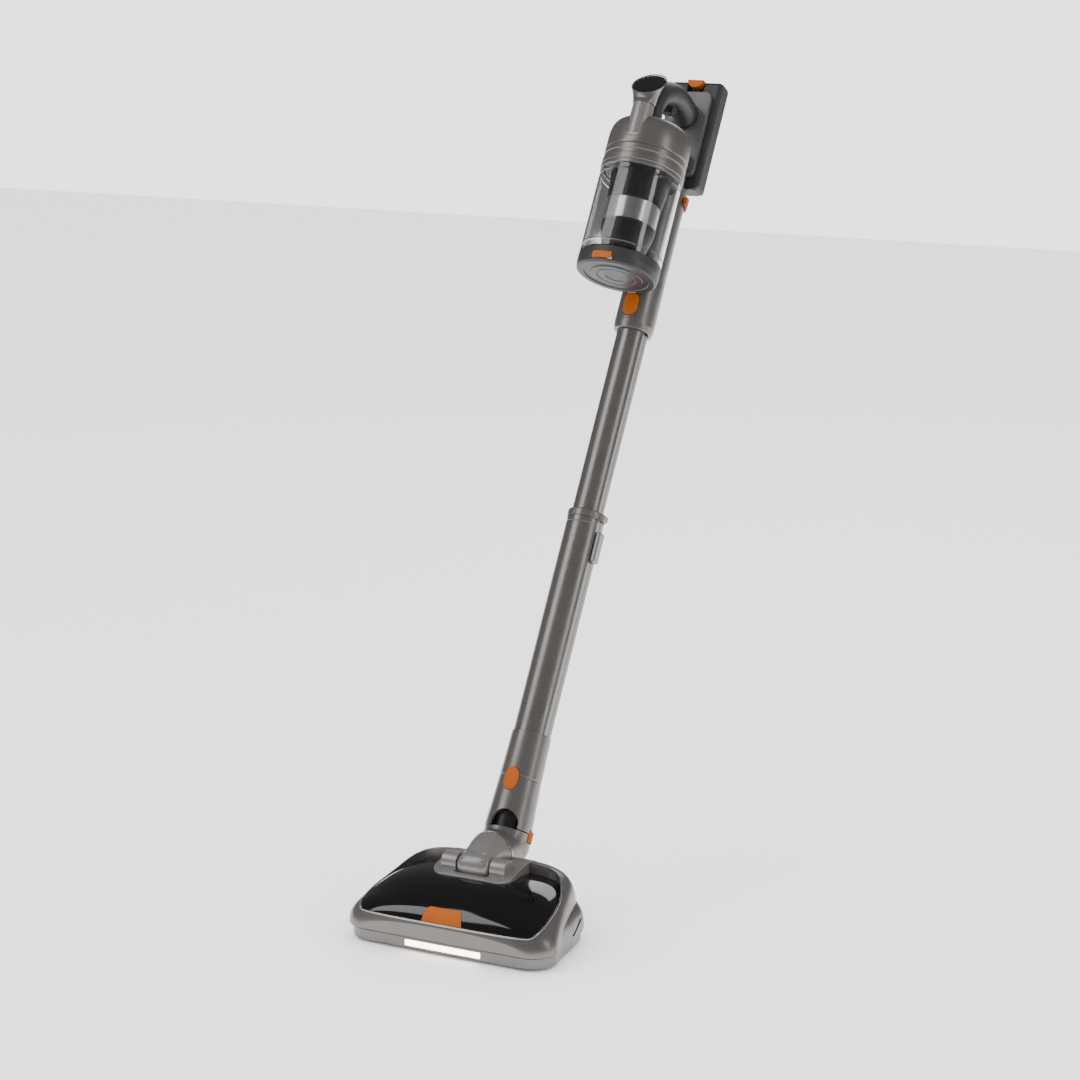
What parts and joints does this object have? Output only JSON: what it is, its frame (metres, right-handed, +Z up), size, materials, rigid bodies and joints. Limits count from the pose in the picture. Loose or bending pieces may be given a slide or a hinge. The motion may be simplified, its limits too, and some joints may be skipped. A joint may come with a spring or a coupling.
{
  "type": "cordless stick vacuum",
  "caption": "Stick vacuum: motor unit with handle, battery, clear dust cup and display on a telescopic wand, over a swivelling floor head with a brush roll.",
  "frame": {"origin": "middle of the felt strip on the underside of the floor head, on the floor", "axes": "+Z up from the floor, +X to the object's right as it is pushed forwards, -Y towards the front of the head"},
  "size_m": [0.2436, 0.6226, 0.8766],
  "materials": {
    "warm_grey_paint": "satin metallic",
    "warm_grey_plastic": "satin metallic paint on plastic",
    "light_grey_plastic": "satin",
    "dark_grey_plastic": "matt",
    "black_plastic": "matt",
    "orange_plastic": "satin",
    "clear_plastic": "clear",
    "smoked_window": "polished",
    "steel": "bright",
    "filter_foam": "porous",
    "circuit_board": "matt",
    "black_rubber": "matt",
    "bristle_nylon": "matt",
    "lamp_lens": "frosted",
    "cell_metal": "wrapped cells"
  },
  "bodies": {
    "handheld": {"intake_duct": "warm_grey_plastic", "housing_collar": "warm_grey_plastic", "motor_housing": "warm_grey_plastic", "motor_can": "steel", "pre_filter": "filter_foam", "hepa_filter": "filter_foam", "control_board": "circuit_board", "display_stalk": "light_grey_plastic", "display_bezel": "warm_grey_plastic", "display_glass": "smoked_window", "handle_grip": "dark_grey_plastic", "battery_dock": "light_grey_plastic", "cyclone_body": "dark_grey_plastic", "mesh_screen": "steel", "cyclone_skirt": "dark_grey_plastic"},
    "fan": {"impeller": "steel"},
    "trigger": {"trigger": "dark_grey_plastic"},
    "battery": {"battery_case": "dark_grey_plastic", "cell_pack": "cell_metal"},
    "battery_latch": {"battery_latch": "orange_plastic"},
    "bin_release": {"bin_release": "orange_plastic"},
    "wand_release": {"wand_release": "orange_plastic"},
    "cup": {"dust_cup": "clear_plastic", "lid_pin": "steel"},
    "lid": {"cup_lid": "dark_grey_plastic", "lid_seal": "black_rubber"},
    "lid_latch": {"lid_latch": "orange_plastic"},
    "upper_wand": {"upper_tube": "warm_grey_paint"},
    "lower_wand": {"lower_tube": "warm_grey_paint", "telescope_collar": "light_grey_plastic", "lower_casing": "warm_grey_plastic"},
    "telescope_slider": {"telescope_slider": "light_grey_plastic"},
    "casing_button": {"casing_button": "orange_plastic"},
    "neck": {"connector": "black_plastic", "elbow": "warm_grey_plastic", "swivel_ring": "steel"},
    "heel_release": {"heel_release": "orange_plastic"},
    "yoke": {"yoke": "light_grey_plastic", "neck_hose": "black_rubber"},
    "head": {"head_base": "warm_grey_plastic", "head_housing": "warm_grey_plastic", "neck_cradle": "light_grey_plastic", "pivot_pin_left": "steel", "pivot_pin_right": "steel", "brush_motor": "steel", "drive_belt": "black_rubber", "brush_bearing": "steel", "felt_strip": "black_rubber", "bumper_strip": "black_rubber", "led_lens": "lamp_lens"},
    "brush": {"brush_core": "black_plastic", "bristle_strip": "bristle_nylon"},
    "motor_pulley": {"motor_pulley": "dark_grey_plastic"},
    "window": {"window_cover": "smoked_window"},
    "window_latch": {"window_latch": "orange_plastic"},
    "wheel_left": {"wheel_left": "black_rubber"},
    "wheel_right": {"wheel_right": "black_rubber"},
    "roller_left": {"front_roller_left": "black_rubber"},
    "roller_right": {"front_roller_right": "black_rubber"}
  },
  "joints": [
    {"name": "fan_spin", "type": "hinge", "parent": "handheld", "child": "fan", "pos_m": [0, 0.40742, 0.78286], "axis": [0, 0.509, 0.8607], "continuous": true},
    {"name": "trigger_pull", "type": "hinge", "parent": "handheld", "child": "trigger", "pos_m": [0, 0.46927, 0.8462], "axis": [1, 0, 0], "range_deg": [0, 8], "stiffness_Nm_per_rad": 0.3, "springref_deg": -5.73},
    {"name": "battery_slide", "type": "slide", "parent": "handheld", "child": "battery", "axis": [0, 0.509, 0.8607], "range_m": [0, 0.12]},
    {"name": "battery_latch_press", "type": "slide", "parent": "battery", "child": "battery_latch", "axis": [0, 0.8607, -0.509], "range_m": [0, 0.002], "stiffness_N_per_m": 400, "springref_m": -0.001},
    {"name": "bin_release_slide", "type": "slide", "parent": "handheld", "child": "bin_release", "axis": [0, -0.509, -0.8607], "range_m": [0, 0.005], "stiffness_N_per_m": 400, "springref_m": -0.001},
    {"name": "wand_release_press", "type": "slide", "parent": "handheld", "child": "wand_release", "axis": [0, 0.8607, -0.509], "range_m": [0, 0.0014], "stiffness_N_per_m": 400, "springref_m": -0.001},
    {"name": "cup_slide", "type": "slide", "parent": "handheld", "child": "cup", "axis": [0, -0.509, -0.8607], "range_m": [0, 0.12]},
    {"name": "lid_hinge", "type": "hinge", "parent": "cup", "child": "lid", "pos_m": [0, 0.37553, 0.64093], "axis": [1, 0, 0], "range_deg": [0, 75]},
    {"name": "lid_latch_press", "type": "slide", "parent": "lid", "child": "lid_latch", "axis": [0, 0.8607, -0.509], "range_m": [0, 0.0015], "stiffness_N_per_m": 400, "springref_m": -0.001},
    {"name": "wand_detach", "type": "slide", "parent": "handheld", "child": "upper_wand", "axis": [0, -0.509, -0.8607], "range_m": [0, 0.05]},
    {"name": "telescope_slide", "type": "slide", "parent": "upper_wand", "child": "lower_wand", "axis": [0, 0.509, 0.8607], "range_m": [0, 0.15]},
    {"name": "telescope_slider_press", "type": "slide", "parent": "lower_wand", "child": "telescope_slider", "axis": [0, -0.509, -0.8607], "range_m": [0, 0.008], "stiffness_N_per_m": 400, "springref_m": -0.001},
    {"name": "casing_button_press", "type": "slide", "parent": "lower_wand", "child": "casing_button", "axis": [0, 0.8607, -0.509], "range_m": [0, 0.0012], "stiffness_N_per_m": 400, "springref_m": -0.001},
    {"name": "head_detach", "type": "slide", "parent": "lower_wand", "child": "neck", "axis": [0, -0.509, -0.8607], "range_m": [0, 0.05]},
    {"name": "heel_release_press", "type": "slide", "parent": "neck", "child": "heel_release", "axis": [-1, 0, 0], "range_m": [0, 0.0014], "stiffness_N_per_m": 400, "springref_m": -0.001},
    {"name": "neck_swivel", "type": "hinge", "parent": "neck", "child": "yoke", "pos_m": [0, 0.047, 0.08], "axis": [0, -1, 0], "range_deg": [-30, 30]},
    {"name": "head_pitch", "type": "hinge", "parent": "yoke", "child": "head", "pos_m": [0, 0.0165, 0.0765], "axis": [1, 0, 0], "range_deg": [-31, 20]},
    {"name": "brush_spin", "type": "hinge", "parent": "head", "child": "brush", "pos_m": [0, -0.029, 0.024], "axis": [1, 0, 0], "continuous": true},
    {"name": "motor_pulley_spin", "type": "hinge", "parent": "head", "child": "motor_pulley", "pos_m": [-0.094, 0.026, 0.034], "axis": [1, 0, 0], "continuous": true},
    {"name": "window_open", "type": "hinge", "parent": "head", "child": "window", "pos_m": [0, 0.04, 0.066], "axis": [-1, 0, 0], "range_deg": [0, 40]},
    {"name": "window_latch_lift", "type": "slide", "parent": "window", "child": "window_latch", "axis": [0, 0, 1], "range_m": [0, 0.002], "stiffness_N_per_m": 400, "springref_m": -0.001},
    {"name": "wheel_left_spin", "type": "hinge", "parent": "head", "child": "wheel_left", "pos_m": [-0.093, 0.056, 0.015], "axis": [1, 0, 0], "continuous": true},
    {"name": "wheel_right_spin", "type": "hinge", "parent": "head", "child": "wheel_right", "pos_m": [0.093, 0.056, 0.015], "axis": [1, 0, 0], "continuous": true},
    {"name": "roller_left_spin", "type": "hinge", "parent": "head", "child": "roller_left", "pos_m": [-0.06, 0.013, 0.0065], "axis": [1, 0, 0], "continuous": true},
    {"name": "roller_right_spin", "type": "hinge", "parent": "head", "child": "roller_right", "pos_m": [0.06, 0.013, 0.0065], "axis": [1, 0, 0], "continuous": true}
  ],
  "couplings": [
    {"joint": "motor_pulley_spin", "follows": "brush_spin", "ratio": 1.7143}
  ]
}
